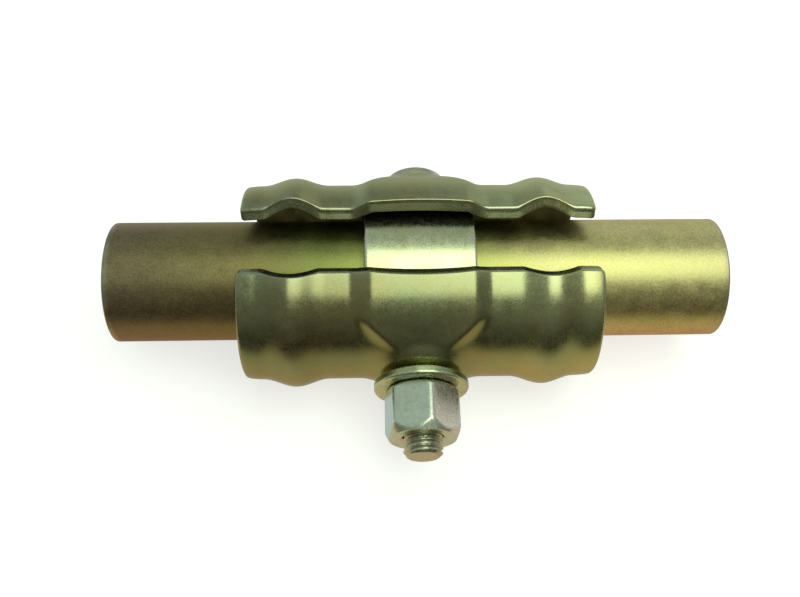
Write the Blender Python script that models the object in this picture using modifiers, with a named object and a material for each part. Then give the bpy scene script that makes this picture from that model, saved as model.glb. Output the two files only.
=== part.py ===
"""An end-to-end joint for scaffold tubes: a spigot with a centre collar, held in two pressed jaws by one bolt.

X runs along the tubes, +Y points to the bolt's head and -Y to its nut, and +Z is up. The joint lies on a flat
surface at Z = 0 with its bolt level. The two jaws stand off the spigot, as they do before tubes go in.
"""

import math

import bmesh
import bpy
from mathutils import Matrix, Vector

# Driving dimensions, in metres and radians
SPIGOT_RADIUS = 0.01905
SPIGOT_WALL = 0.0026
SPIGOT_LENGTH = 0.1925
SPIGOT_EDGE = 0.0006
TUBE_RADIUS = 0.0243  # outside radius of the scaffold tubes that the joint holds
COLLAR_WIDTH = 0.034
COLLAR_EDGE = 0.0008
BOLT_RADIUS = 0.006
BOLT_CHAMFER = 0.0012
GAP = 0.0003  # air left between pieces that touch or turn in each other

JAW_PLATE = 0.0032
JAW_LENGTH = 0.110
JAW_HALF_ANGLE = math.radians(76.7)
JAW_END_DROOP = 0.0006
JAW_END_LAND = 0.006
JAW_SIDE_START = math.radians(25)  # from here to the parting edge the hump changes shape
SEAT_SIDE_LIMIT = math.radians(45)
BEAD_X = 0.039
BEAD_HALF_WIDTH = 0.0105
BEAD_HEIGHT = 0.0024
BEAD_PULL_IN = math.radians(5.0)  # how far a bead draws the parting edge back
HUMP_HEIGHT = 0.0031
HUMP_EDGE_HEIGHT = 0.0024
HUMP_CROWN_FLAT = 0.009
HUMP_CROWN_END = 0.0215
HUMP_EDGE_FLAT = 0.0165
HUMP_EDGE_END = 0.0203
SEAT_HEIGHT = 0.0034  # the flat bolt seat stands this far above the jaw's plain radius
SEAT_FLAT_RADIUS = 0.0098
SEAT_END_RADIUS = 0.0165
HEAD_JAW_SLACK = 0.0038  # how far each jaw stands off the position where it grips a tube
NUT_JAW_SLACK = 0.0047

HEAD_RADIUS = 0.0100
HEAD_RIM = 0.0018
HEAD_DOME = 0.0024
NECK_WIDTH = 0.012
NECK_LENGTH = 0.0045
BOLT_HOLE_RADIUS = 0.0066
SQUARE_HOLE_WIDTH = 0.0128
WASHER_RADIUS = 0.0145
WASHER_THICKNESS = 0.0028
WASHER_EDGE = 0.0008
NUT_ACROSS_FLATS = 0.021
NUT_HEIGHT = 0.0152
NUT_TURN = math.radians(12)  # from straight up to the nearest corner
NUT_END_RADIUS = 0.0101
NUT_END_CHAMFER = 0.0036
NUT_SEAT_CHAMFER = 0.0014
NUT_MOUTH = 0.0008
BOLT_PROTRUSION = 0.0053

# Dimensions worked out from those
JAW_RADIUS = TUBE_RADIUS + JAW_PLATE
SEAT_Y = JAW_RADIUS + SEAT_HEIGHT  # from the jaw's own axis out to the bolt seat
HEAD_SEAT_Y = HEAD_JAW_SLACK + SEAT_Y + GAP
WASHER_Y = -(NUT_JAW_SLACK + SEAT_Y + GAP)
NUT_Y = WASHER_Y - WASHER_THICKNESS - GAP
NUT_END_Y = NUT_Y - NUT_HEIGHT
BOLT_END_Y = NUT_END_Y - BOLT_PROTRUSION
BOLT_TOP_Y = HEAD_SEAT_Y + HEAD_RIM + HEAD_DOME
JAW_EDGE_Z = (JAW_RADIUS + HUMP_EDGE_HEIGHT) * math.sin(JAW_HALF_ANGLE)
AXIS = Vector((0.0, -(BOLT_TOP_Y + BOLT_END_Y) / 2, JAW_EDGE_Z))  # middle of the spigot's axis

ALONG_X = Matrix.Rotation(math.radians(90), 4, "Y")  # turns +Z onto +X
ALONG_NUT = Matrix.Rotation(math.radians(90), 4, "X")  # turns +Z onto -Y, towards the nut

ROUND_STEPS = 48
SMALL_STEPS = 32
JAW_STEPS = 20
CUTTER_DEPTH = 0.02
SHARP = math.radians(30)


def clear_scene():
    for old in list(bpy.data.objects):
        bpy.data.objects.remove(old, do_unlink=True)


def new_collection(name):
    made = bpy.data.collections.new(name)
    bpy.context.scene.collection.children.link(made)
    return made


def finish(name, colour, roughness, metallic=1.0):
    material = bpy.data.materials.new(name)
    material.use_nodes = True
    shader = material.node_tree.nodes["Principled BSDF"]
    shader.inputs["Base Color"].default_value = (*colour, 1.0)
    shader.inputs["Roughness"].default_value = roughness
    shader.inputs["Metallic"].default_value = metallic
    return material


def add_empty(name, collection, parent, location):
    empty = bpy.data.objects.new(name, None)
    empty.empty_display_size = 0.01
    collection.objects.link(empty)
    empty.parent = parent
    empty.location = location
    return empty


def add_object(name, mesh, collection, parent=None, matrix=None):
    made = bpy.data.objects.new(name, mesh)
    collection.objects.link(made)
    if parent is not None:
        made.parent = parent
    if matrix is not None:
        made.matrix_local = matrix
    return made


def smooth(mesh):
    mesh.shade_smooth()
    mesh.set_sharp_from_angle(angle=SHARP)


def profile_mesh(name, points, closed):
    """A chain of edges in the XZ plane through (radius, height) points."""
    mesh = bpy.data.meshes.new(name)
    count = len(points)
    edges = [(i, i + 1) for i in range(count - 1)]
    if closed:
        edges.append((count - 1, 0))
    mesh.from_pydata([(radius, 0.0, height) for radius, height in points], edges, [])
    return mesh


def add_turned(name, points, steps, collection, parent, matrix, closed=False):
    """A profile spun round Z. Its outer side runs from top to bottom."""
    made = add_object(name, profile_mesh(name, points, closed), collection, parent, matrix)
    screw = made.modifiers.new("turn", "SCREW")
    screw.axis = "Z"
    screw.angle = math.tau
    screw.steps = steps
    screw.render_steps = steps
    screw.use_merge_vertices = True
    screw.merge_threshold = 0.00001
    screw.use_smooth_shade = True
    return made


def rounded_ring(inner, outer, low, high, edge):
    """Profile of a ring whose outer corners are rounded with a small arc, as (radius, height) points."""
    def arc(centre_height, start):
        angles = [start - math.radians(45) * i for i in range(3)]
        return [(outer - edge + edge * math.cos(a), centre_height + edge * math.sin(a)) for a in angles]

    upper = arc(high - edge, math.radians(90))
    lower = arc(low + edge, 0.0)
    return [(inner, high)] + upper + lower + [(inner, low)]


def cut(target, cutter, operation="DIFFERENCE"):
    boolean = target.modifiers.new(cutter.name, "BOOLEAN")
    boolean.operation = operation
    boolean.solver = "EXACT"
    boolean.object = cutter


def add_helper(name, mesh, helpers, parent, matrix):
    helper = add_object(name, mesh, helpers, parent, matrix)
    helper.hide_render = True
    helper.display_type = "WIRE"
    return helper


def cylinder_mesh(name, radius, length, sides):
    mesh = bpy.data.meshes.new(name)
    shape = bmesh.new()
    bmesh.ops.create_cone(
        shape, cap_ends=True, segments=sides, radius1=radius, radius2=radius, depth=length
    )
    shape.to_mesh(mesh)
    shape.free()
    return mesh


def box_mesh(name, size):
    mesh = bpy.data.meshes.new(name)
    shape = bmesh.new()
    bmesh.ops.create_cube(shape, size=1.0)
    bmesh.ops.scale(shape, vec=size, verts=shape.verts)
    shape.to_mesh(mesh)
    shape.free()
    return mesh


def ease(value, start, end):
    """0 up to start, 1 from end on, and a smooth S between them."""
    t = min(max((value - start) / (end - start), 0.0), 1.0)
    return t * t * (3 - 2 * t)


def bead_shape(x):
    """1 on the crest of either bead and 0 clear of it."""
    away = abs(abs(x) - BEAD_X) / BEAD_HALF_WIDTH
    return 0.5 + 0.5 * math.cos(math.pi * away) if away < 1 else 0.0


def jaw_radius(x, angle):
    """Outside radius of a jaw at x along it and an angle from its bolt, before the seat is pressed flat."""
    side = ease(abs(angle), JAW_SIDE_START, JAW_HALF_ANGLE)
    height = HUMP_HEIGHT + (HUMP_EDGE_HEIGHT - HUMP_HEIGHT) * side
    flat = HUMP_CROWN_FLAT + (HUMP_EDGE_FLAT - HUMP_CROWN_FLAT) * side
    end = HUMP_CROWN_END + (HUMP_EDGE_END - HUMP_CROWN_END) * side
    hump = height * (1 - ease(abs(x), flat, end))
    past_land = max(abs(x) - (JAW_LENGTH / 2 - JAW_END_LAND), 0.0) / JAW_END_LAND
    return JAW_RADIUS + BEAD_HEIGHT * bead_shape(x) + hump - JAW_END_DROOP * past_land**2


def jaw_point(x, along):
    """A point of a jaw's outer surface. along runs from -1 to 1, one parting edge to the other; +Y is the bolt."""
    angle = along * (JAW_HALF_ANGLE - BEAD_PULL_IN * bead_shape(x))
    radius = jaw_radius(x, angle)
    from_bolt = math.hypot(x, radius * math.sin(angle))
    seat = 1 - ease(from_bolt, SEAT_FLAT_RADIUS, SEAT_END_RADIUS)
    radius += (SEAT_Y / math.cos(min(abs(angle), SEAT_SIDE_LIMIT)) - radius) * seat
    return Vector((x, radius * math.cos(angle), radius * math.sin(angle)))


def jaw_stations():
    """Places along a jaw, from its middle to one end, closer together where its radius changes."""
    hump = [0.0, 0.0045, 0.009, 0.0125, 0.0165, 0.0185, 0.0203]
    bead = [BEAD_X + BEAD_HALF_WIDTH * step / 4 for step in range(-4, 5)]
    end = JAW_LENGTH / 2
    return hump + [0.0245] + bead + [end - JAW_END_LAND / 2, end]


def jaw_mesh(name):
    """The outer surface of a jaw: a flat grid wrapped round X and pressed to shape."""
    half = jaw_stations()
    stations = [-x for x in reversed(half[1:])] + half
    mesh = bpy.data.meshes.new(name)
    shape = bmesh.new()
    bmesh.ops.create_grid(shape, x_segments=len(stations) - 1, y_segments=JAW_STEPS, size=1.0)
    for vertex in shape.verts:
        column = round((vertex.co.x + 1) / 2 * (len(stations) - 1))
        vertex.co = jaw_point(stations[column], vertex.co.y)
    bmesh.ops.recalc_face_normals(shape, faces=shape.faces)
    crown = max(shape.faces, key=lambda face: face.calc_center_median().y)
    if crown.normal.y < 0:
        bmesh.ops.reverse_faces(shape, faces=shape.faces)
    shape.to_mesh(mesh)
    shape.free()
    smooth(mesh)
    return mesh


def add_jaw(name, collection, parent, matrix, hole):
    jaw = add_object(name, jaw_mesh(name), collection, parent, matrix)
    plate = jaw.modifiers.new("plate", "SOLIDIFY")
    plate.thickness = JAW_PLATE
    plate.offset = -1.0
    plate.use_even_offset = True
    cut(jaw, hole)
    return jaw


def add_spigot_tube(collection, parent, hole):
    inner = SPIGOT_RADIUS - SPIGOT_WALL
    points = rounded_ring(inner, SPIGOT_RADIUS, -SPIGOT_LENGTH / 2, SPIGOT_LENGTH / 2, SPIGOT_EDGE)
    tube = add_turned("spigot_tube", points, ROUND_STEPS, collection, parent, ALONG_X, closed=True)
    cut(tube, hole)
    return tube


def add_centre_collar(collection, parent, hole):
    points = rounded_ring(SPIGOT_RADIUS + GAP, TUBE_RADIUS, -COLLAR_WIDTH / 2, COLLAR_WIDTH / 2, COLLAR_EDGE)
    collar = add_turned("centre_collar", points, ROUND_STEPS, collection, parent, ALONG_X, closed=True)
    cut(collar, hole)
    return collar


def dome_points(radius, rise, base, count):
    """A spherical cap's points from its apex on the axis down to its rim at height base."""
    sphere = (radius**2 + rise**2) / (2 * rise)
    widest = math.asin(radius / sphere)
    centre = base + rise - sphere
    angles = [widest * i / count for i in range(count + 1)]
    return [(sphere * math.sin(a), centre + sphere * math.cos(a)) for a in angles]


def add_clamp_bolt(collection, parent, helpers):
    """The bolt, turned with its head up along +Y: local Z 0 is the seat under the head."""
    end = BOLT_END_Y - HEAD_SEAT_Y
    points = dome_points(HEAD_RADIUS, HEAD_DOME, HEAD_RIM, 4)
    points += [(HEAD_RADIUS, 0.0), (BOLT_RADIUS, 0.0), (BOLT_RADIUS, end + BOLT_CHAMFER)]
    points += [(BOLT_RADIUS - BOLT_CHAMFER, end), (0.0, end)]
    to_head = Matrix.Translation((0, HEAD_SEAT_Y, 0)) @ Matrix.Rotation(math.radians(-90), 4, "X")
    bolt = add_turned("clamp_bolt", points, SMALL_STEPS, collection, parent, to_head)
    overlap = HEAD_RIM / 2
    neck_mesh = box_mesh("square_neck", (NECK_WIDTH, NECK_LENGTH + overlap, NECK_WIDTH))
    middle = HEAD_SEAT_Y + (overlap - NECK_LENGTH) / 2
    neck = add_helper("square_neck", neck_mesh, helpers, parent, Matrix.Translation((0, middle, 0)))
    cut(bolt, neck, "UNION")
    return bolt


def add_plain_washer(collection, parent):
    points = rounded_ring(BOLT_RADIUS + GAP, WASHER_RADIUS, -WASHER_THICKNESS / 2, WASHER_THICKNESS / 2, WASHER_EDGE)
    middle = Matrix.Translation((0, WASHER_Y - WASHER_THICKNESS / 2, 0)) @ ALONG_NUT
    return add_turned("plain_washer", points, SMALL_STEPS, collection, parent, middle, closed=True)


def add_hex_nut(collection, parent, helpers):
    """A hexagonal prism turned down at both ends, with a chamfered bore. Local +Z points away from the washer."""
    to_nut = Matrix.Translation((0, NUT_Y, 0)) @ ALONG_NUT
    corner = NUT_ACROSS_FLATS / math.sqrt(3)
    prism = cylinder_mesh("hex_nut", corner, NUT_HEIGHT, 6)
    prism.transform(Matrix.Translation((0, 0, NUT_HEIGHT / 2)) @ Matrix.Rotation(-NUT_TURN, 4, "Z"))
    nut = add_object("hex_nut", prism, collection, parent, to_nut)
    wide = corner + 0.001
    seat = NUT_ACROSS_FLATS / 2
    seat_slope = NUT_SEAT_CHAMFER / (corner - seat)
    end_slope = NUT_END_CHAMFER / (corner - NUT_END_RADIUS)
    bore = BOLT_RADIUS + GAP
    points = [(bore + NUT_MOUTH, NUT_HEIGHT), (NUT_END_RADIUS, NUT_HEIGHT)]
    points += [(wide, NUT_HEIGHT - end_slope * (wide - NUT_END_RADIUS)), (wide, seat_slope * (wide - seat))]
    points += [(seat, 0.0), (bore + NUT_MOUTH, 0.0), (bore, NUT_MOUTH), (bore, NUT_HEIGHT - NUT_MOUTH)]
    envelope = add_turned("nut_envelope", points, SMALL_STEPS, helpers, parent, to_nut, closed=True)
    envelope.hide_render = True
    envelope.display_type = "WIRE"
    cut(nut, envelope, "INTERSECT")
    return nut


def build():
    clear_scene()
    parts = new_collection("scaffold_tube_joint")
    helpers = new_collection("cutters")

    axis = add_empty("tube_axis", parts, None, AXIS)
    head_axis = add_empty("head_jaw_axis", parts, axis, (0, HEAD_JAW_SLACK, 0))
    nut_axis = add_empty("nut_jaw_axis", parts, axis, (0, -NUT_JAW_SLACK, 0))

    through = cylinder_mesh("bolt_hole", BOLT_HOLE_RADIUS, TUBE_RADIUS * 3, SMALL_STEPS)
    bolt_hole = add_helper("bolt_hole", through, helpers, axis, ALONG_NUT)
    blind = cylinder_mesh("jaw_hole", BOLT_HOLE_RADIUS, CUTTER_DEPTH, SMALL_STEPS)
    round_hole = add_helper("jaw_hole", blind, helpers, nut_axis, Matrix.Translation((0, -SEAT_Y, 0)) @ ALONG_NUT)
    square = box_mesh("square_hole", (SQUARE_HOLE_WIDTH, CUTTER_DEPTH, SQUARE_HOLE_WIDTH))
    square_hole = add_helper("square_hole", square, helpers, head_axis, Matrix.Translation((0, SEAT_Y, 0)))

    spigot = add_spigot_tube(parts, axis, bolt_hole)
    collar = add_centre_collar(parts, axis, bolt_hole)
    head_jaw = add_jaw("head_side_jaw", parts, head_axis, Matrix.Identity(4), square_hole)
    nut_jaw = add_jaw("nut_side_jaw", parts, nut_axis, Matrix.Rotation(math.pi, 4, "X"), round_hole)
    bolt = add_clamp_bolt(parts, axis, helpers)
    washer = add_plain_washer(parts, axis)
    nut = add_hex_nut(parts, axis, helpers)

    gold = finish("yellow_zinc_plate", (0.42, 0.38, 0.16), 0.32)
    gold_tube = finish("yellow_zinc_tube", (0.44, 0.38, 0.17), 0.45)
    bright = finish("bright_zinc", (0.58, 0.60, 0.52), 0.30)
    for piece, material in (
        (spigot, gold_tube), (collar, gold), (head_jaw, gold), (nut_jaw, gold), (washer, gold), (nut, bright),
        (bolt, bright),
    ):
        piece.data.materials.append(material)


build()
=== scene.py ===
"""Looks of an end-to-end joint for scaffold tubes.

A zinc-plated spigot with a collar, two pressed jaws round it, and a bolt with its washer and nut.
Lengths are in metres. X runs along the tubes, +Y points to the bolt's head and -Y to its nut, and +Z is up.
"""

import math

import bmesh
import bpy
import numpy as np
from mathutils import Matrix, Vector, noise


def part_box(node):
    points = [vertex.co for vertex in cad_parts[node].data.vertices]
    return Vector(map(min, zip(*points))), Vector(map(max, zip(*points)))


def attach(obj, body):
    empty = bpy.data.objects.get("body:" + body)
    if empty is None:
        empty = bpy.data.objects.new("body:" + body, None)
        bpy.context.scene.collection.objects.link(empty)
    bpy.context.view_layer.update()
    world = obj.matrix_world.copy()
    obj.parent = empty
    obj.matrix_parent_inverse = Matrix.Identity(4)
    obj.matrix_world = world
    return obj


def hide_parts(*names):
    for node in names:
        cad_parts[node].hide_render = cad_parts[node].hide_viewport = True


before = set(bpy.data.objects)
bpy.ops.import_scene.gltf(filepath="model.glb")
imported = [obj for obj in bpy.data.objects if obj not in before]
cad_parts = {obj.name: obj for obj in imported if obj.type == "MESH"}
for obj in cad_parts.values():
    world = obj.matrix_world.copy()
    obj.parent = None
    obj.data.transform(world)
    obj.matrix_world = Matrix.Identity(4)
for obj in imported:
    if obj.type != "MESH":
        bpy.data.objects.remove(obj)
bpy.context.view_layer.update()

# Camera, measured from the middle of the spigot's axis
CAMERA_DISTANCE = 0.29213
CAMERA_TILT = math.radians(28.16)  # from straight above, towards the nut
CAMERA_TURN = math.radians(-2.51)
CAMERA_ROLL = math.radians(-0.56)
LENS = 40.31
SHIFT = (-0.0222, -0.0240)

# Sheet and rims of the two pressed jaws
PLATE = 0.0032
JAW_HALF_ANGLE = math.radians(76.7)
JAW_END_DROOP = 0.0006
JAW_END_LAND = 0.006
BEAD_X = 0.039
BEAD_HALF_WIDTH = 0.0105
BEAD_HEIGHT = 0.0024
BEAD_ARCH_HALF_WIDTH = 0.0088
BEAD_ARCH_POWER = 2.2
BEAD_PULL_IN = math.radians(5.0)
HUMP_HEIGHT = 0.0031
HUMP_EDGE_HEIGHT = 0.0024
HUMP_CROWN_FLAT = 0.006
HUMP_EDGE_FLAT = 0.0148
HUMP_EDGE_END = 0.0214
HUMP_PULL_IN = math.radians(3.4)
CREASE_LOWEST = math.radians(16)
CREASE_HIGHEST = math.radians(42)
SEAT_HEIGHT = 0.0034
# For each jaw: the radius of its flat seat, and where its hump ends on the crown. Then the crease where the
# hump narrows towards the bolt: its angle from the crown, what each metre out from the bolt adds to that
# angle, and half the angle that the narrowing takes
HEAD_JAW = {
    "seat": 0.0085, "crown_end": 0.0215,
    "crease": math.radians(38.5), "slant": 0.0, "half": math.radians(13.5),
}
NUT_JAW = {
    "seat": 0.0065, "crown_end": 0.0190,
    "crease": math.radians(31.5), "slant": math.radians(430.0), "half": math.radians(8.8),
}
SEAT_END_RADIUS = 0.0165
SEAT_SIDE_LIMIT = math.radians(45)
ARCH_RIM = 0.0005  # rounding of the outer rim where a parting edge arches
FLAT_RIM = 0.0012  # and where it runs straight
JAW_INNER_RIM = 0.0004
RIM_SLANT = 0.0016  # how much further round the inner surface reaches than the outer
HUMP_RIM_SLANT = 0.0004  # and how much more at the hump
JAW_CORNER = 0.0016
JAW_SPACING = 0.0007
RIM_WEAR_WIDTH = 0.0009
ARCH_WEAR = 0.35  # wear of an arching edge, as a share of a straight edge's
CREST_WEAR = 0.4
INNER_WEAR = 0.6  # wear of the inner rim, as a share of the outer rim's
# Painted shade on the jaws' rim strips
RIM_PAINTED_SHADE = 0.42
HUMP_RIM_PAINTED_SHADE = 0.42  # and how much more at the hump
WIDE_DENTS = (0.022, 0.00016)  # size and depth
SMALL_DENTS = (0.007, 0.00003)
HOLE_RADIUS = 0.0066
SQUARE_HOLE = 0.0128

# Turned and threaded pieces
SPIGOT_WALL = 0.0026
AIR_GAP = 0.0003  # between pieces that touch on the real joint
BOLT_RADIUS = 0.00595
BOLT_END_CHAMFER = 0.00125
BOLT_END_SLOPE = 1.1  # of the cone that the thread runs out on
# How deep the bolt's end is dished, from its rim in, as pairs of a share of its radius and a depth
BOLT_END_DISH = [(1.0, 0.0), (0.93, 0.0), (0.8, 0.00004), (0.6, 0.00012), (0.35, 0.00018), (0.12, 0.0002)]
THREAD_PITCH = 0.00175
THREAD_DEPTH = 0.00105
THREAD_LENGTH = 0.036
THREAD_STEPS = 18  # rings to a turn
THREAD_FLANK_POWER = 0.9  # below 1 for flanks that bulge a little
THREAD_CREST_DEPTH = 0.0003  # down to which the crests are worn
HEAD_SIDE_SHARE = 0.45  # of the head's height
HEAD_RIM = 0.0004
DOME_POWER = 0.9  # below 1 for a dome fuller than an ellipse
NECK_HALF_WIDTH = 0.006
NECK_POWER = 9  # of the superellipse that rounds the neck's square
NECK_FILLET = 0.0004
NECK_LENGTH = 0.0045
WASHER_BORE = 0.0063
NUT_ACROSS_FLATS = 0.021
NUT_TURN = math.radians(12)
NUT_END_RADIUS = 0.0101
NUT_END_CHAMFER = 0.0036
NUT_SEAT_CHAMFER = 0.0014
NUT_CORNER_POWER = 22  # the higher, the sharper the hexagon's corners
NUT_CORNER_ROUND = 0.00035  # rounding where the flats meet the cones of the ends
NUT_FACE_INSET = 0.00035
NUT_EDGE_DROP = 0.00008  # the bevel between its faces and the cones
NUT_EDGE_INSET = 0.00012
NUT_WORN_FROM = 0.0115  # radius from which its near corners are worn
NUT_BORE = 0.0062
NUT_BORE_CHAMFER = 0.0009

# Plating
SHARP_ANGLE = math.radians(40)
SPECKLE_SIZE = 0.0006
# How far the painted reflection's warm tint goes on the faces turned its way
PAINTED_REFLECTION_AMOUNT = 0.8
PAINTED_SHADE_COLOUR = (0.07, 0.075, 0.04)  # painted shade for the jaws' inner faces and rim strips, which the studio floor would light up too much

# The room's light in bands round X, as degrees from straight up towards the nut, strength and colour
ROOM_BANDS = [
    (-180, 0.70, (0.90, 0.95, 1.00)),
    (-110, 0.92, (0.84, 0.98, 1.00)),
    (-80, 0.50, (0.85, 0.98, 1.00)),
    (-45, 0.48, (0.88, 0.98, 0.95)),
    (-20, 0.55, (0.90, 1.00, 0.90)),
    (36, 0.28, (0.95, 1.00, 0.85)),
    (60, 0.24, (1.00, 0.99, 0.80)),
    (84, 0.12, (1.00, 0.92, 0.70)),
    (104, 0.03, (1.00, 0.90, 0.70)),
    (119, 0.68, (1.00, 0.86, 0.52)),
    (145, 0.78, (1.00, 0.84, 0.54)),
    (180, 0.70, (1.00, 0.86, 0.66)),
]
ROOM_LEFT = 0.90  # factors on the bands' strength at the left and right
ROOM_RIGHT = 0.70
BACKDROP = (0.93, 0.93, 0.92)  # what the camera itself sees beyond the floor

# Places, worked out from the frame
spigot_low, spigot_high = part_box("spigot_tube")
collar_low, collar_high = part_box("centre_collar")
head_jaw_low, head_jaw_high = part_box("head_side_jaw")
nut_jaw_low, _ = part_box("nut_side_jaw")
washer_low, washer_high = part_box("plain_washer")
nut_low, nut_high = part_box("hex_nut")
bolt_low, bolt_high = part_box("clamp_bolt")

AXIS = (Vector(spigot_low) + Vector(spigot_high)) / 2
SPIGOT_RADIUS = (spigot_high[2] - spigot_low[2]) / 2
SPIGOT_LENGTH = spigot_high[0] - spigot_low[0]
COLLAR_RADIUS = (collar_high[2] - collar_low[2]) / 2
COLLAR_WIDTH = collar_high[0] - collar_low[0]
JAW_LENGTH = head_jaw_high[0] - head_jaw_low[0]
JAW_RADIUS = COLLAR_RADIUS + PLATE
SEAT_Y = JAW_RADIUS + SEAT_HEIGHT
HEAD_JAW_AXIS = Vector((0.0, head_jaw_high[1] - SEAT_Y, AXIS.z))
NUT_JAW_AXIS = Vector((0.0, nut_jaw_low[1] + SEAT_Y, AXIS.z))
WASHER_RADIUS = (washer_high[2] - washer_low[2]) / 2
HEAD_RADIUS = (bolt_high[2] - bolt_low[2]) / 2


# Meshes

def grid_faces(index):
    """Quads over a two-dimensional array of vertex numbers."""
    corners = (index[:-1, :-1], index[1:, :-1], index[1:, 1:], index[:-1, 1:])
    return np.stack(corners, axis=-1).reshape(-1, 4)


def make_mesh(name, points, faces, wear, painted_shade=None):
    """A closed mesh with its faces turned out, smooth but for real edges.

    How worn its plating is, and how much painted shade darkens it, are kept on each vertex.
    """
    mesh = bpy.data.meshes.new(name)
    mesh.from_pydata(points.tolist(), [], faces)
    painted_shade = np.zeros(len(points)) if painted_shade is None else painted_shade
    for kind, values in (("wear", wear), ("painted_shade", painted_shade)):
        attribute = mesh.attributes.new(kind, "FLOAT", "POINT")
        attribute.data.foreach_set("value", values.astype(np.float32))
    shape = bmesh.new()
    shape.from_mesh(mesh)
    bmesh.ops.recalc_face_normals(shape, faces=shape.faces)
    shape.to_mesh(mesh)
    shape.free()
    mesh.shade_smooth()
    mesh.set_sharp_from_angle(angle=SHARP_ANGLE)
    return mesh


def around_x(radius, along, turn):
    return np.stack([along, -radius * np.sin(turn), radius * np.cos(turn)], axis=-1)


def around_y(radius, along, turn):
    return np.stack([radius * np.sin(turn), along, radius * np.cos(turn)], axis=-1)


def ring_mesh(name, place, centre, profile, wear, steps):
    """A ring with a hole: a closed profile of (along, radius) points carried round its axis."""
    along, radius = np.array(profile).T
    turn = np.arange(steps) / steps * math.tau
    points = place(radius[:, None] * np.ones(steps), along[:, None] * np.ones(steps), turn[None, :])
    points = points.reshape(-1, 3) + np.array(centre)
    index = np.arange(len(profile) * steps).reshape(len(profile), steps)
    index = np.vstack([index, index[:1]])
    index = np.hstack([index, index[:, :1]])
    return make_mesh(name, points, grid_faces(index).tolist(), np.repeat(wear, steps))


def arc(centre, radius, start, end, count):
    """Points of a circular arc, as (along, radius) pairs. The angles are in degrees."""
    turns = np.radians(np.linspace(start, end, count))
    return [(centre[0] + radius * math.cos(t), centre[1] + radius * math.sin(t)) for t in turns]


def ring_profile(half, inner, outer, outer_edge, inner_edge, spacing):
    """A ring's closed profile with rounded edges, and how worn each of its points is."""
    count = max(int(2 * half / spacing), 2)
    flat = np.linspace(-half + outer_edge, half - outer_edge, count)[1:-1]
    bore = np.linspace(half - inner_edge, -half + inner_edge, count)[1:-1]
    parts = [
        (arc((-half + outer_edge, outer - outer_edge), outer_edge, 180, 90, 7), 1.0),
        ([(x, outer) for x in flat], 0.0),
        (arc((half - outer_edge, outer - outer_edge), outer_edge, 90, 0, 7), 1.0),
        (arc((half - inner_edge, inner + inner_edge), inner_edge, 0, -90, 5), 0.7),
        ([(x, inner) for x in bore], 0.0),
        (arc((-half + inner_edge, inner + inner_edge), inner_edge, -90, -180, 5), 0.7),
    ]
    points = [point for run, _ in parts for point in run]
    wear = [worn for run, worn in parts for _ in run]
    return points, np.array(wear)


def cut(mesh, cutter_mesh):
    """The mesh with a hole bored through it."""
    solid = bpy.data.objects.new("solid", mesh)
    cutter = bpy.data.objects.new("cutter", cutter_mesh)
    for helper in (solid, cutter):
        bpy.context.scene.collection.objects.link(helper)
    boolean = solid.modifiers.new("hole", "BOOLEAN")
    boolean.operation = "DIFFERENCE"
    boolean.solver = "EXACT"
    boolean.object = cutter
    evaluated = solid.evaluated_get(bpy.context.evaluated_depsgraph_get())
    bored = bpy.data.meshes.new_from_object(evaluated)
    bored.name = mesh.name
    for helper in (solid, cutter):
        bpy.data.objects.remove(helper)
    shape = bmesh.new()
    shape.from_mesh(bored)
    bmesh.ops.dissolve_degenerate(shape, edges=shape.edges, dist=0.000002)
    many_sided = [face for face in shape.faces if len(face.verts) > 4]
    bmesh.ops.triangulate(shape, faces=many_sided)
    shape.to_mesh(bored)
    shape.free()
    bored.set_sharp_from_angle(angle=SHARP_ANGLE)
    return bored


def peg(radius, low, high, sides, turn=0.0):
    """A prism along Y, to bore holes with."""
    mesh = bpy.data.meshes.new("peg")
    shape = bmesh.new()
    bmesh.ops.create_cone(
        shape, cap_ends=True, segments=sides, radius1=radius, radius2=radius, depth=high - low,
    )
    along_y = Matrix.Rotation(turn, 4, "Y") @ Matrix.Rotation(math.radians(90), 4, "X")
    shape.transform(Matrix.Translation((AXIS.x, (low + high) / 2, AXIS.z)) @ along_y)
    shape.to_mesh(mesh)
    shape.free()
    return mesh


# The pressed jaws

def ease(value, start, end):
    """0 up to start, 1 from end on, and a smooth S between them."""
    t = np.clip((value - start) / (end - start), 0.0, 1.0)
    return t * t * (3 - 2 * t)


def bead_shape(x):
    """1 on the crest of either bead and 0 clear of it."""
    away = np.abs(np.abs(x) - BEAD_X) / BEAD_HALF_WIDTH
    return np.where(away < 1, 0.5 + 0.5 * np.cos(math.pi * away), 0.0)


def bead_arch(x):
    """1 where a parting edge arches over the crest of a bead and 0 clear of the bead."""
    away = np.abs(np.abs(x) - BEAD_X) / BEAD_ARCH_HALF_WIDTH
    return np.clip(1 - away**BEAD_ARCH_POWER, 0.0, 1.0)


def hump_arch(x):
    """1 where a parting edge arches most over the hump and 0 clear of the hump."""
    return np.clip(1 - (x / HUMP_EDGE_END) ** 2, 0.0, 1.0)


def edge_flat(x):
    """1 where a parting edge runs straight and 0 where it arches."""
    return np.clip(1 - 2 * np.maximum(bead_arch(x), hump_arch(x)), 0.0, 1.0)


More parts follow.
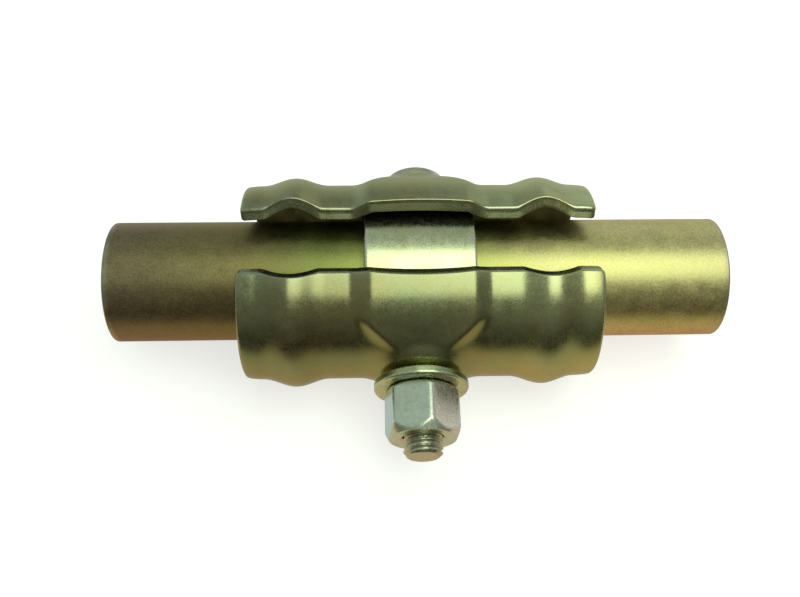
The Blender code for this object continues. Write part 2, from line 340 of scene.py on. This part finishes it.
def jaw_surface(x, along, jaw):
    """The outer surface of a jaw about its own axis.

    along runs from -1 to 1 between the parting edges, and jaw is HEAD_JAW or NUT_JAW.
    """
    angle = along * (JAW_HALF_ANGLE - BEAD_PULL_IN * bead_arch(x) - HUMP_PULL_IN * hump_arch(x))
    crease = np.clip(jaw["crease"] + jaw["slant"] * np.abs(x), CREASE_LOWEST, CREASE_HIGHEST)
    side = ease(np.abs(angle), crease - jaw["half"], crease + jaw["half"])
    height = HUMP_HEIGHT + (HUMP_EDGE_HEIGHT - HUMP_HEIGHT) * side
    flat = HUMP_CROWN_FLAT + (HUMP_EDGE_FLAT - HUMP_CROWN_FLAT) * side
    end = jaw["crown_end"] + (HUMP_EDGE_END - jaw["crown_end"]) * side
    hump = height * (1 - ease(np.abs(x), flat, end))
    past_land = np.maximum(np.abs(x) - (JAW_LENGTH / 2 - JAW_END_LAND), 0.0) / JAW_END_LAND
    radius = JAW_RADIUS + BEAD_HEIGHT * bead_shape(x) + hump - JAW_END_DROOP * past_land**2
    from_bolt = np.hypot(x, radius * np.sin(angle))
    seat = 1 - ease(from_bolt, jaw["seat"], SEAT_END_RADIUS)
    radius = radius + (SEAT_Y / np.cos(np.minimum(np.abs(angle), SEAT_SIDE_LIMIT)) - radius) * seat
    return np.stack([x, radius * np.cos(angle), radius * np.sin(angle)], axis=-1)


def jaw_normals(x, along, jaw):
    """The directions that jaw_surface faces, from its slopes over short steps."""
    step_x, step_along = 0.00002, 0.0005
    run = jaw_surface(x + step_x, along, jaw) - jaw_surface(x - step_x, along, jaw)
    rise = jaw_surface(x, along + step_along, jaw) - jaw_surface(x, along - step_along, jaw)
    normal = np.cross(rise, run)
    return normal / np.linalg.norm(normal, axis=-1, keepdims=True)


def rim_stations(half):
    """Places from -half to half, close together where the rims are rounded."""
    turns = np.linspace(0, math.pi / 2, 11)
    rim = half - FLAT_RIM * (1 - np.cos(turns))
    middle = np.linspace(-rim[-1], rim[-1], int(2 * rim[-1] / JAW_SPACING))
    return np.concatenate([-rim[:-1], middle, rim[-2::-1]])


def round_corners(x, s, half_x, half_s):
    """Pulls a rectangle's corners in to a circle, and gives each point's distance from the border."""
    a = np.clip((np.abs(x) - (half_x - JAW_CORNER)) / JAW_CORNER, 0.0, 1.0)
    b = np.clip((np.abs(s) - (half_s - JAW_CORNER)) / JAW_CORNER, 0.0, 1.0)
    round_a = a * np.sqrt(1 - b**2 / 2)
    round_b = b * np.sqrt(1 - a**2 / 2)
    new_x = x - np.sign(x) * (a - round_a) * JAW_CORNER
    new_s = s - np.sign(s) * (b - round_b) * JAW_CORNER
    straight = np.minimum(half_x - np.abs(x), half_s - np.abs(s))
    corner = JAW_CORNER * (1 - np.sqrt(round_a**2 + round_b**2))
    return new_x, new_s, np.where((a > 0) & (b > 0), corner, straight)


def rounding(distance, radius):
    """How far below a face its rounded rim lies, at a distance in from the rim."""
    short = np.clip(radius - distance, 0.0, radius)
    return radius - np.sqrt(radius**2 - short**2)


def dents(points, size, depth, seed):
    """A slow unevenness, from 0 to depth, for each point."""
    offset = Vector((seed * 13.7, seed * 5.1, seed * 9.3))
    values = [noise.noise(Vector(point) / size + offset) for point in points.reshape(-1, 3)]
    return depth * np.clip(0.5 + np.array(values), 0.0, 1.0).reshape(points.shape[:-1])


def jaw_mesh(name, axis, turned, jaw, seed):
    """A pressed sheet.

    It has an outer surface, a surface one plate inside it, and a slanting strip that closes the rim. A turned
    jaw faces the nut.
    """
    half_s = JAW_RADIUS * JAW_HALF_ANGLE
    stations = rim_stations(JAW_LENGTH / 2)
    lines = rim_stations(half_s)
    x, s = np.meshgrid(stations, lines, indexing="ij")
    x, s, inward = round_corners(x, s, JAW_LENGTH / 2, half_s)
    along = s / half_s
    surface = jaw_surface(x, along, jaw)
    normals = jaw_normals(x, along, jaw)
    uneven = dents(surface, *WIDE_DENTS, seed) + dents(surface, *SMALL_DENTS, seed + 1)
    flat = edge_flat(x)
    outer_rim = ARCH_RIM + (FLAT_RIM - ARCH_RIM) * flat
    outer = surface - normals * (rounding(inward, outer_rim) + uneven)[..., None]
    inner_along = along * (1 + (RIM_SLANT + HUMP_RIM_SLANT * hump_arch(x)) / half_s)
    inner_depth = PLATE - rounding(inward, JAW_INNER_RIM)
    inner = jaw_surface(x, inner_along, jaw)
    inner = inner - jaw_normals(x, inner_along, jaw) * inner_depth[..., None]

    rows, columns = x.shape
    outer_index = np.arange(rows * columns).reshape(rows, columns)
    border = np.concatenate([
        outer_index[0, :-1], outer_index[:-1, -1], outer_index[-1, :0:-1], outer_index[:0:-1, 0],
    ])
    outer_points = outer.reshape(-1, 3)
    inner_points = inner.reshape(-1, 3)
    rim_lines = [border]
    rim_points = []
    line_count = 3
    for line in range(1, line_count + 1):
        share = line / (line_count + 1)
        rim_points.append(outer_points[border] * (1 - share) + inner_points[border] * share)
        rim_lines.append(2 * rows * columns + (line - 1) * len(border) + np.arange(len(border)))
    rim_lines.append(border + rows * columns)
    rim_index = np.array(rim_lines)
    rim_index = np.hstack([rim_index, rim_index[:, :1]])

    points = np.vstack([outer_points, inner_points] + rim_points)
    outer_faces = grid_faces(outer_index)
    inner_faces = grid_faces(outer_index + rows * columns)[:, ::-1]
    faces = np.vstack([outer_faces, inner_faces, grid_faces(rim_index)])
    edge_wear = np.exp(-inward / RIM_WEAR_WIDTH) * (ARCH_WEAR + (1 - ARCH_WEAR) * flat)
    edge_wear = edge_wear.reshape(-1)
    bead_crest = np.clip(bead_shape(x) - 0.6, 0.0, 1.0).reshape(-1)
    rim_wear = np.full(len(border) * line_count, 0.1)
    wear = np.concatenate([edge_wear + CREST_WEAR * bead_crest, INNER_WEAR * edge_wear, rim_wear])
    # Painted shade: the inner faces are darkened, less near their worn rim, and the rim strips are darkened,
    # more so at the hump
    inner_painted_shade = 1 - 0.3 * edge_wear
    rim_painted_shade = RIM_PAINTED_SHADE + HUMP_RIM_PAINTED_SHADE * hump_arch(x.reshape(-1)[border])
    painted_shade = np.concatenate([np.zeros(len(outer_points)), inner_painted_shade, np.tile(rim_painted_shade, line_count)])
    if turned:
        points = points * np.array([1.0, -1.0, -1.0])
    return make_mesh(name, points + np.array(axis), faces.tolist(), wear, painted_shade)


# The bolt and the nut

def smooth_least(a, b, softness):
    """The smaller of two values, with the corner between them rounded."""
    gap = np.clip(0.5 + (a - b) / (2 * softness), 0.0, 1.0)
    return a + (b - a) * gap - softness * gap * (1 - gap)


def thread_radius(y, turn):
    """A right-hand thread about +Y. Its crest is an eighth of the pitch wide and its root a quarter."""
    root, crest = 0.25, 0.125
    phase = (y / THREAD_PITCH - turn / math.tau) % 1.0
    wave = np.abs(2 * phase - 1)
    flank = np.clip((wave - root) / (1 - root - crest), 0.0, 1.0)
    return BOLT_RADIUS - THREAD_DEPTH * (1 - flank**THREAD_FLANK_POWER)


def bolt_mesh(name):
    """The bolt as rings from the crown of its head down to the end of its thread."""
    columns = 128
    turn = np.arange(columns) / columns * math.tau
    top, bottom = bolt_high[1], bolt_low[1]
    seat = head_jaw_high[1] + AIR_GAP
    side = HEAD_SIDE_SHARE * (top - seat)
    rings = []

    def ring(y, radius, worn=0.0):
        rings.append((np.full(columns, y), np.broadcast_to(radius, (columns,)).copy(), worn))

    for turned in np.radians(np.linspace(1, 90, 32)):
        rise = (top - seat - side) * math.cos(turned) ** DOME_POWER
        ring(seat + side + rise, HEAD_RADIUS * math.sin(turned) ** DOME_POWER)
    for along, radius in arc((seat + HEAD_RIM, HEAD_RADIUS - HEAD_RIM), HEAD_RIM, 90, 180, 6):
        ring(along, radius, 0.6)
    corners = np.abs(np.cos(turn)) ** NECK_POWER + np.abs(np.sin(turn)) ** NECK_POWER
    square = NECK_HALF_WIDTH / corners ** (1 / NECK_POWER)
    ring(seat, square + NECK_FILLET)
    for share in np.linspace(0.0, 1.0, 8):
        ring(seat - NECK_FILLET - share * (NECK_LENGTH - 2 * NECK_FILLET), square)
    ring(seat - NECK_LENGTH, np.minimum(square, BOLT_RADIUS + 0.0001))
    thread_start = bottom + THREAD_LENGTH
    for y in np.linspace(seat - NECK_LENGTH - 0.0002, thread_start + 0.0003, 12):
        ring(y, BOLT_RADIUS)
    cone_start = BOLT_RADIUS - 0.00115
    for y in np.arange(thread_start, bottom + 0.00004, -THREAD_PITCH / THREAD_STEPS):
        cone = cone_start + (y - bottom) * BOLT_END_SLOPE
        fade = ease(thread_start - y, 0.0, 2 * THREAD_PITCH)
        radius = BOLT_RADIUS + (thread_radius(np.full(columns, y), turn) - BOLT_RADIUS) * fade
        ring(y, np.minimum(radius, cone), 0.25)
    end_radius = BOLT_RADIUS - BOLT_END_CHAMFER
    for share, sink in BOLT_END_DISH:
        ring(bottom + sink, end_radius * share, 0.3)

    along = np.array([r[0] for r in rings])
    radius = np.array([r[1] for r in rings])
    worn = np.array([r[2] for r in rings])
    points = around_y(radius, along, turn[None, :]).reshape(-1, 3) + np.array([AXIS.x, 0.0, AXIS.z])
    index = np.arange(len(rings) * columns).reshape(len(rings), columns)
    faces = grid_faces(np.hstack([index, index[:, :1]])).tolist()
    faces += [index[0].tolist(), index[-1, ::-1].tolist()]
    crest = np.clip(1 - (BOLT_RADIUS - radius) / THREAD_CREST_DEPTH, 0.0, 1.0) * (along < thread_start)
    wear = (worn[:, None] + 0.5 * crest).reshape(-1)
    return make_mesh(name, points, faces, wear)


def nut_mesh(name):
    """A hexagon rounded a little at its corners and turned down at both ends, with a plain bore."""
    columns = 240
    turn = np.arange(columns) / columns * math.tau + NUT_TURN
    seat, end = nut_high[1], nut_low[1]
    height = seat - end
    flats = NUT_ACROSS_FLATS / 2
    corner = NUT_ACROSS_FLATS / math.sqrt(3)
    faces_at = NUT_TURN + math.radians(30) + np.radians(60) * np.arange(6)
    facing = np.maximum(np.cos(turn[:, None] - faces_at), 0.0)
    hexagon = flats / (facing**NUT_CORNER_POWER).sum(axis=1) ** (1 / NUT_CORNER_POWER)
    end_slope = (corner - NUT_END_RADIUS) / NUT_END_CHAMFER
    seat_slope = (corner - flats) / NUT_SEAT_CHAMFER
    rings = []
    wears = []

    def outside(depth):
        """The radius at a depth from the seat."""
        end_cone = NUT_END_RADIUS + end_slope * (height - depth)
        seat_cone = flats + seat_slope * depth
        cones = smooth_least(np.full(columns, end_cone), np.full(columns, seat_cone), 0.0001)
        return smooth_least(hexagon, cones, NUT_CORNER_ROUND)

    # Rings lie closer together on the cones than on the flats between them
    depths = np.concatenate([
        np.linspace(0.00025, 0.0022, 16), np.linspace(0.0025, height - 0.0048, 14),
        np.linspace(height - 0.0045, height - 0.0003, 30),
    ])
    face_radius = outside(depths[0])
    bore_mouth = NUT_BORE + NUT_BORE_CHAMFER
    for share in np.linspace(0.0, 1.0, 6):
        rings.append((seat, bore_mouth * (1 - share) + (face_radius - NUT_FACE_INSET) * share))
        wears.append(0.1)
    rings.append((seat - NUT_EDGE_DROP, face_radius - NUT_EDGE_INSET))
    wears.append(0.6)
    for depth in depths:
        radius = outside(depth)
        near_corner = 0.3 * np.clip((radius - NUT_WORN_FROM) / 0.0004, 0.0, 1.0)
        rings.append((seat - depth, radius))
        wears.append(near_corner)
    last = outside(depths[-1])
    rings.append((end + NUT_EDGE_DROP, last - NUT_EDGE_INSET))
    wears.append(0.7)
    for share in np.linspace(1.0, 0.0, 7):
        rings.append((end, bore_mouth * (1 - share) + (last - NUT_FACE_INSET) * share))
        wears.append(0.15)
    for y in (end + NUT_BORE_CHAMFER, seat - NUT_BORE_CHAMFER):
        rings.append((y, NUT_BORE))
        wears.append(0.0)
    along = np.array([np.full(columns, r[0]) for r in rings])
    radius = np.array([np.broadcast_to(r[1], (columns,)) for r in rings])
    wear = np.array([np.broadcast_to(w, (columns,)) for w in wears]).reshape(-1)
    points = around_y(radius, along, turn[None, :]).reshape(-1, 3) + np.array([AXIS.x, 0.0, AXIS.z])
    index = np.arange(len(rings) * columns).reshape(len(rings), columns)
    index = np.vstack([index, index[:1]])
    faces = grid_faces(np.hstack([index, index[:, :1]])).tolist()
    return make_mesh(name, points, faces, wear)


# Materials

def add_node(tree, kind, inputs=None, **settings):
    made = tree.nodes.new(kind)
    for key, value in settings.items():
        setattr(made, key, value)
    for key, value in (inputs or {}).items():
        if isinstance(value, bpy.types.NodeSocket):
            tree.links.new(value, made.inputs[key])
        else:
            made.inputs[key].default_value = value
    return made


def colour_mix(tree, factor, first, second, blend="MIX"):
    made = add_node(tree, "ShaderNodeMix", data_type="RGBA", blend_type=blend)
    for socket, value in ((made.inputs[0], factor), (made.inputs[6], first), (made.inputs[7], second)):
        if isinstance(value, bpy.types.NodeSocket):
            tree.links.new(value, socket)
        else:
            socket.default_value = value if isinstance(value, float) else (*value, 1.0)
    return made.outputs[2]


def spread(tree, value, low, high, to_low=0.0, to_high=1.0):
    """A value remapped and clamped."""
    inputs = {"Value": value, "From Min": low, "From Max": high, "To Min": to_low, "To Max": to_high}
    return add_node(tree, "ShaderNodeMapRange", inputs).outputs["Result"]


def set_stops(ramp, stops):
    """Gives a colour ramp its stops, as pairs of place and colour."""
    for place, _ in stops[2:]:
        ramp.elements.new(place)
    for element, (place, colour) in zip(ramp.elements, stops):
        element.position = place
        element.color = (*colour, 1.0)


def calculate(tree, operation, first, second, use_clamp=False):
    inputs = {0: first, 1: second}
    made = add_node(tree, "ShaderNodeMath", inputs, operation=operation, use_clamp=use_clamp)
    return made.outputs[0]


def brighten(tree, colour, factor):
    """A colour multiplied by the same value in each of its channels."""
    grey = add_node(tree, "ShaderNodeCombineColor", {"Red": factor, "Green": factor, "Blue": factor})
    return colour_mix(tree, 1.0, colour, grey.outputs[0], "MULTIPLY")


def blotches(tree, place, size, detail=3.0, roughness=0.55, stretch=(1.0, 1.0, 1.0)):
    """Noise with features about as large as size, stretched by a factor along each axis."""
    scaled = add_node(tree, "ShaderNodeMapping", {"Vector": place, "Scale": tuple(1 / s for s in stretch)})
    inputs = {"Vector": scaled.outputs[0], "Scale": 1 / size, "Detail": detail, "Roughness": roughness}
    return add_node(tree, "ShaderNodeTexNoise", inputs).outputs["Fac"]


def plating(
    name, main, second, painted_reflection, bare, edge_tint, roughness, patch=0.02, speckle=0.35,
    painted_reflection_towards=(0.0, -0.6, -0.8), painted_reflection_from=0.0, painted_reflection_to=1.0, bump=0.25,
    stretch=(1.0, 1.0, 1.0), wear_amount=0.5, mottle=0.15, ends=None,
):
    """Zinc plating over steel.

    Two tints, main and second, lie in patches, with a painted reflection on the faces turned one way: a
    warmer tint that stands in for the plating's sheen at a slant and the warm light it mirrors from below.
    ends paints light and shade along X, darker towards one end and lighter towards the other, with stops
    given as shares of the spigot's length. mottle and speckle are how uneven the plating is at a middling and
    at a fine scale. Worn rims show bare metal, and painted shade darkens the faces marked for it, such as the
    jaws' inner faces.
    """
    material = bpy.data.materials.new(name)
    material.use_nodes = True
    tree = material.node_tree
    shader = tree.nodes["Principled BSDF"]
    coordinates = add_node(tree, "ShaderNodeTexCoord")
    place = coordinates.outputs["Object"]

    slow = blotches(tree, place, patch, stretch=stretch)
    fine = blotches(tree, place, SPECKLE_SIZE, detail=2.0)
    middle = blotches(tree, place, patch / 6, detail=4.0)
    colour = colour_mix(tree, spread(tree, slow, 0.35, 0.65), main, second)
    # A painted reflection: faces turned one way take a warmer tint
    facing = add_node(tree, "ShaderNodeVectorMath", {
        0: coordinates.outputs["Normal"], 1: painted_reflection_towards,
    }, operation="DOT_PRODUCT")
    turned = spread(tree, facing.outputs["Value"], painted_reflection_from, painted_reflection_to, 0.0, PAINTED_REFLECTION_AMOUNT)
    colour = colour_mix(tree, turned, colour, painted_reflection)
    # Painted light and shade along X, from the ramp's stops
    if ends:
        along = add_node(tree, "ShaderNodeSeparateXYZ", {"Vector": place}).outputs["X"]
        share_along = spread(tree, along, -SPIGOT_LENGTH / 2, SPIGOT_LENGTH / 2)
        painted_light_ramp = add_node(tree, "ShaderNodeValToRGB", {"Fac": share_along})
        set_stops(painted_light_ramp.color_ramp, ends)
        colour = colour_mix(tree, 1.0, colour, painted_light_ramp.outputs["Color"], "MULTIPLY")
    colour = brighten(tree, colour, spread(tree, middle, 0.3, 0.7, 1 - mottle, 1 + mottle))
    colour = brighten(tree, colour, spread(tree, fine, 0.3, 0.7, 1.0 - speckle, 1.0 + speckle / 2))
    worn = add_node(tree, "ShaderNodeAttribute", attribute_name="wear").outputs["Fac"]
    broken = calculate(tree, "MULTIPLY", worn, spread(tree, middle, 0.3, 0.6, 0.3, 1.0))
    bare_share = calculate(tree, "MULTIPLY", broken, wear_amount, use_clamp=True)
    colour = colour_mix(tree, bare_share, colour, bare)
    # Painted shade over the faces marked for it on their vertices
    painted_shade_share = add_node(tree, "ShaderNodeAttribute", attribute_name="painted_shade").outputs["Fac"]
    colour = colour_mix(tree, painted_shade_share, colour, PAINTED_SHADE_COLOUR)
    tree.links.new(colour, shader.inputs["Base Color"])

    fine_rough = spread(tree, fine, 0.25, 0.75, roughness - 0.06, roughness + 0.08)
    middle_rough = spread(tree, middle, 0.3, 0.7, -0.03, 0.05)
    rough = calculate(tree, "ADD", fine_rough, middle_rough)
    tree.links.new(rough, shader.inputs["Roughness"])
    shader.inputs["Metallic"].default_value = 1.0
    shader.inputs["Specular Tint"].default_value = (*edge_tint, 1.0)

    pitted = add_node(tree, "ShaderNodeBump", {"Height": fine, "Strength": bump, "Distance": 0.0001})
    waved = add_node(tree, "ShaderNodeBump", {
        "Height": middle, "Strength": bump * 0.6, "Distance": 0.0003, "Normal": pitted.outputs[0],
    })
    tree.links.new(waved.outputs[0], shader.inputs["Normal"])
    return material


def spigot_material():
    return plating(
        "speckled_gold_zinc", main=(0.88, 0.84, 0.40), second=(0.96, 0.82, 0.52), painted_reflection=(1.0, 0.60, 0.36),
        bare=(0.62, 0.60, 0.52), edge_tint=(0.95, 0.80, 0.72), roughness=0.39, patch=0.03, speckle=0.24,
        painted_reflection_from=0.35, painted_reflection_to=0.95, stretch=(2.0, 1.0, 1.0), mottle=0.10,
        # Painted light and shade along the spigot: dark brown towards the left end, greener in the middle,
        # pale towards the right
        ends=[
            (0.0, (0.30, 0.27, 0.29)), (0.22, (0.31, 0.29, 0.22)), (0.34, (0.28, 0.35, 0.18)),
            (0.6, (0.58, 0.63, 0.42)), (0.74, (0.80, 0.81, 0.66)), (1.0, (0.84, 0.80, 0.78)),
        ],
    )


def collar_material():
    return plating(
        "bright_gold_zinc", main=(0.68, 0.74, 0.50), second=(0.64, 0.66, 0.38), painted_reflection=(0.62, 0.50, 0.30),
        bare=(0.75, 0.74, 0.66), edge_tint=(0.95, 0.90, 0.80), roughness=0.27, patch=0.012, speckle=0.10,
        bump=0.10, painted_reflection_from=0.5, painted_reflection_to=1.0, mottle=0.08,
    )


def jaw_material():
    return plating(
        "olive_gold_zinc", main=(0.53, 0.60, 0.34), second=(0.60, 0.57, 0.28), painted_reflection=(0.70, 0.59, 0.28),
        bare=(0.60, 0.66, 0.54), edge_tint=(0.95, 0.88, 0.72), roughness=0.26, patch=0.018, speckle=0.08,
        bump=0.08, painted_reflection_from=0.3, painted_reflection_to=0.95, wear_amount=0.6, mottle=0.06,
        # Painted light and shade along the jaws: greyer and darker towards the left, lighter towards the
        # right
        ends=[
            (0.2, (0.52, 0.52, 0.54)), (0.5, (0.58, 0.58, 0.56)),
            (0.65, (0.74, 0.73, 0.70)), (0.8, (1.0, 0.98, 0.94)),
        ],
    )


def washer_material():
    return plating(
        "green_gold_zinc", main=(0.44, 0.52, 0.27), second=(0.48, 0.50, 0.26), painted_reflection=(0.46, 0.46, 0.26),
        bare=(0.82, 0.86, 0.74), edge_tint=(0.92, 0.92, 0.80), roughness=0.27, patch=0.006, speckle=0.08,
        bump=0.10, mottle=0.08, wear_amount=0.9,
    )


def nut_material():
    # The painted reflection here is a painted highlight: it lightens and warms the faces turned to the right
    return plating(
        "silver_zinc", main=(0.70, 0.81, 0.67), second=(0.64, 0.72, 0.58), painted_reflection=(1.0, 0.90, 0.80),
        bare=(0.80, 0.84, 0.78), edge_tint=(0.95, 0.92, 0.90), roughness=0.27, patch=0.007, speckle=0.06,
        bump=0.10, painted_reflection_towards=(1.0, 0.0, 0.2), painted_reflection_from=0.2, painted_reflection_to=0.8, mottle=0.08,
    )


def bolt_material():
    # Its painted reflection lightens the faces turned towards the nut, such as the thread's end
    return plating(
        "pale_zinc", main=(0.55, 0.59, 0.46), second=(0.56, 0.54, 0.40), painted_reflection=(0.66, 0.63, 0.50),
        bare=(0.70, 0.70, 0.62), edge_tint=(0.95, 0.92, 0.86), roughness=0.30, patch=0.005, speckle=0.18,
        bump=0.18, painted_reflection_towards=(0.0, -1.0, 0.0), painted_reflection_from=0.3, painted_reflection_to=1.0,
    )


# The pieces

def add_piece(name, mesh, body, node, material):
    mesh.materials.append(material)
    piece = bpy.data.objects.new(name, mesh)
    bpy.context.scene.collection.objects.link(piece)
    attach(piece, body)
    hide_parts(node)


def bolt_peg(radius):
    """A peg that bores the bolt's hole through both walls of a ring of that radius."""
    reach = radius * 1.2  # clear of the ring on both sides
    return peg(HOLE_RADIUS, AXIS.y - reach, AXIS.y + reach, 96)


def add_spigot():
    inner = SPIGOT_RADIUS - SPIGOT_WALL
    profile, wear = ring_profile(
        SPIGOT_LENGTH / 2, inner, SPIGOT_RADIUS, outer_edge=0.0007, inner_edge=0.0003, spacing=0.0015,
    )
    mesh = ring_mesh("rolled_spigot", around_x, AXIS, profile, wear, steps=192)
    mesh = cut(mesh, bolt_peg(SPIGOT_RADIUS))
    add_piece("rolled_spigot", mesh, "spigot", "spigot_tube", spigot_material())


def add_collar():
    inner = SPIGOT_RADIUS + AIR_GAP
    profile, wear = ring_profile(
        COLLAR_WIDTH / 2, inner, COLLAR_RADIUS, outer_edge=0.0008, inner_edge=0.0003, spacing=0.001,
    )
    mesh = ring_mesh("stop_collar", around_x, AXIS, profile, wear, steps=224)
    mesh = cut(mesh, bolt_peg(COLLAR_RADIUS))
    add_piece("stop_collar", mesh, "spigot", "centre_collar", collar_material())


def add_jaws():
    material = jaw_material()
    near, far = 0.02, 0.04  # a peg's reach from the jaw's axis
    head = jaw_mesh("pressed_head_jaw", HEAD_JAW_AXIS, turned=False, jaw=HEAD_JAW, seed=3)
    square = SQUARE_HOLE / math.sqrt(2)
    head = cut(head, peg(square, HEAD_JAW_AXIS.y + near, HEAD_JAW_AXIS.y + far, 4, math.radians(45)))
    add_piece("pressed_head_jaw", head, "head_jaw", "head_side_jaw", material)
    nut = jaw_mesh("pressed_nut_jaw", NUT_JAW_AXIS, turned=True, jaw=NUT_JAW, seed=8)
    nut = cut(nut, peg(HOLE_RADIUS, NUT_JAW_AXIS.y - far, NUT_JAW_AXIS.y - near, 96))
    add_piece("pressed_nut_jaw", nut, "nut_jaw", "nut_side_jaw", material)


def add_bolt():
    mesh = bolt_mesh("cup_bolt")
    add_piece("cup_bolt", mesh, "head_jaw", "clamp_bolt", bolt_material())


def add_washer():
    centre = (Vector(washer_low) + Vector(washer_high)) / 2
    half = (washer_high[1] - washer_low[1]) / 2
    profile, wear = ring_profile(
        half, WASHER_BORE, WASHER_RADIUS, outer_edge=0.0008, inner_edge=0.0002, spacing=0.0004,
    )
    mesh = ring_mesh("round_washer", around_y, centre, profile, 0.7 * wear, steps=160)
    add_piece("round_washer", mesh, "washer", "plain_washer", washer_material())


def add_nut():
    add_piece("tall_nut", nut_mesh("tall_nut"), "nut", "hex_nut", nut_material())


# The setting

def add_floor():
    """A pale sheet just below the joint, with a glow of its own to lift its shadows."""
    mesh = bpy.data.meshes.new("floor")
    half, height = 4.0, -0.0002
    corners = [(-half, -half), (half, -half), (half, half), (-half, half)]
    mesh.from_pydata([(x, y, height) for x, y in corners], [], [(0, 1, 2, 3)])
    floor = bpy.data.objects.new("floor", mesh)
    bpy.context.scene.collection.objects.link(floor)
    material = bpy.data.materials.new("pale_paper")
    material.use_nodes = True
    shader = material.node_tree.nodes["Principled BSDF"]
    shader.inputs["Base Color"].default_value = (0.86, 0.86, 0.85, 1.0)
    shader.inputs["Roughness"].default_value = 0.9
    shader.inputs["Emission Color"].default_value = (1.0, 1.0, 1.0, 1.0)
    shader.inputs["Emission Strength"].default_value = 0.62
    mesh.materials.append(material)
    floor.visible_glossy = False


def add_softbox(name, place, target, size, power, colour):
    light = bpy.data.lights.new(name, "AREA")
    light.shape = "RECTANGLE"
    light.size, light.size_y = size
    light.energy = power
    light.color = colour
    lamp = bpy.data.objects.new(name, light)
    bpy.context.scene.collection.objects.link(lamp)
    lamp.location = place
    lamp.rotation_euler = (Vector(target) - Vector(place)).to_track_quat("-Z", "Y").to_euler()


def add_world():
    """The room as bands of light from below the joint's back, over it, and down to below its front."""
    world = bpy.data.worlds.new("room")
    bpy.context.scene.world = world
    world.use_nodes = True
    tree = world.node_tree
    background = tree.nodes["Background"]
    direction = add_node(tree, "ShaderNodeTexCoord").outputs["Generated"]
    parts = add_node(tree, "ShaderNodeSeparateXYZ", {"Vector": direction})
    towards_nut = calculate(tree, "MULTIPLY", parts.outputs["Y"], -1.0)
    angle = calculate(tree, "ARCTAN2", towards_nut, parts.outputs["Z"])
    turn = spread(tree, angle, -math.pi, math.pi)
    ramp = add_node(tree, "ShaderNodeValToRGB", {"Fac": turn})
    set_stops(ramp.color_ramp, [
        (0.5 + degrees / 360, tuple(strength * part for part in colour))
        for degrees, strength, colour in ROOM_BANDS
    ])
    side = spread(tree, parts.outputs["X"], -0.6, 0.6, ROOM_LEFT, ROOM_RIGHT)
    lit = brighten(tree, ramp.outputs["Color"], side)
    seen = add_node(tree, "ShaderNodeLightPath").outputs["Is Camera Ray"]
    tree.links.new(colour_mix(tree, seen, lit, BACKDROP), background.inputs["Color"])


def add_lights():
    """A broad light overhead, a window behind, and one that lights the nut's right face."""
    add_softbox(
        "key", place=(0.20, -0.13, 0.85), target=(0.20, -0.13, 0.0),
        size=(0.66, 0.76), power=3.1, colour=(0.90, 1.0, 0.80),
    )
    add_softbox(
        "back_window", place=(0.90, 1.0, 0.32), target=(0.90, 0.0, 0.32),
        size=(1.5, 0.6), power=0.70, colour=(1.0, 0.96, 0.86),
    )
    add_softbox(
        "side_window", place=(1.05, 0.53, 0.10), target=(0.0, -0.036, 0.03),
        size=(0.5, 0.35), power=0.34, colour=(1.0, 0.86, 0.74),
    )


def add_camera():
    above = Vector((0.0, -math.sin(CAMERA_TILT), math.cos(CAMERA_TILT)))
    sideways = Vector((1.0, 0.0, 0.0))
    up = Vector((0.0, math.cos(CAMERA_TILT), math.sin(CAMERA_TILT)))
    back = above * math.cos(CAMERA_TURN) + sideways * math.sin(CAMERA_TURN)
    level = sideways * math.cos(CAMERA_TURN) - above * math.sin(CAMERA_TURN)
    right = level * math.cos(CAMERA_ROLL) + up * math.sin(CAMERA_ROLL)
    upright = up * math.cos(CAMERA_ROLL) - level * math.sin(CAMERA_ROLL)
    data = bpy.data.cameras.new("camera")
    data.lens = LENS
    data.shift_x, data.shift_y = SHIFT
    data.clip_start = 0.01
    camera = bpy.data.objects.new("camera", data)
    bpy.context.scene.collection.objects.link(camera)
    turned = Matrix((right, upright, back)).transposed().to_4x4()
    camera.matrix_world = Matrix.Translation(AXIS + back * CAMERA_DISTANCE) @ turned
    bpy.context.scene.camera = camera


add_camera()
add_floor()
add_world()
add_lights()
add_spigot()
add_collar()
add_jaws()
add_bolt()
add_washer()
add_nut()
bpy.context.scene.view_settings.view_transform = "Standard"
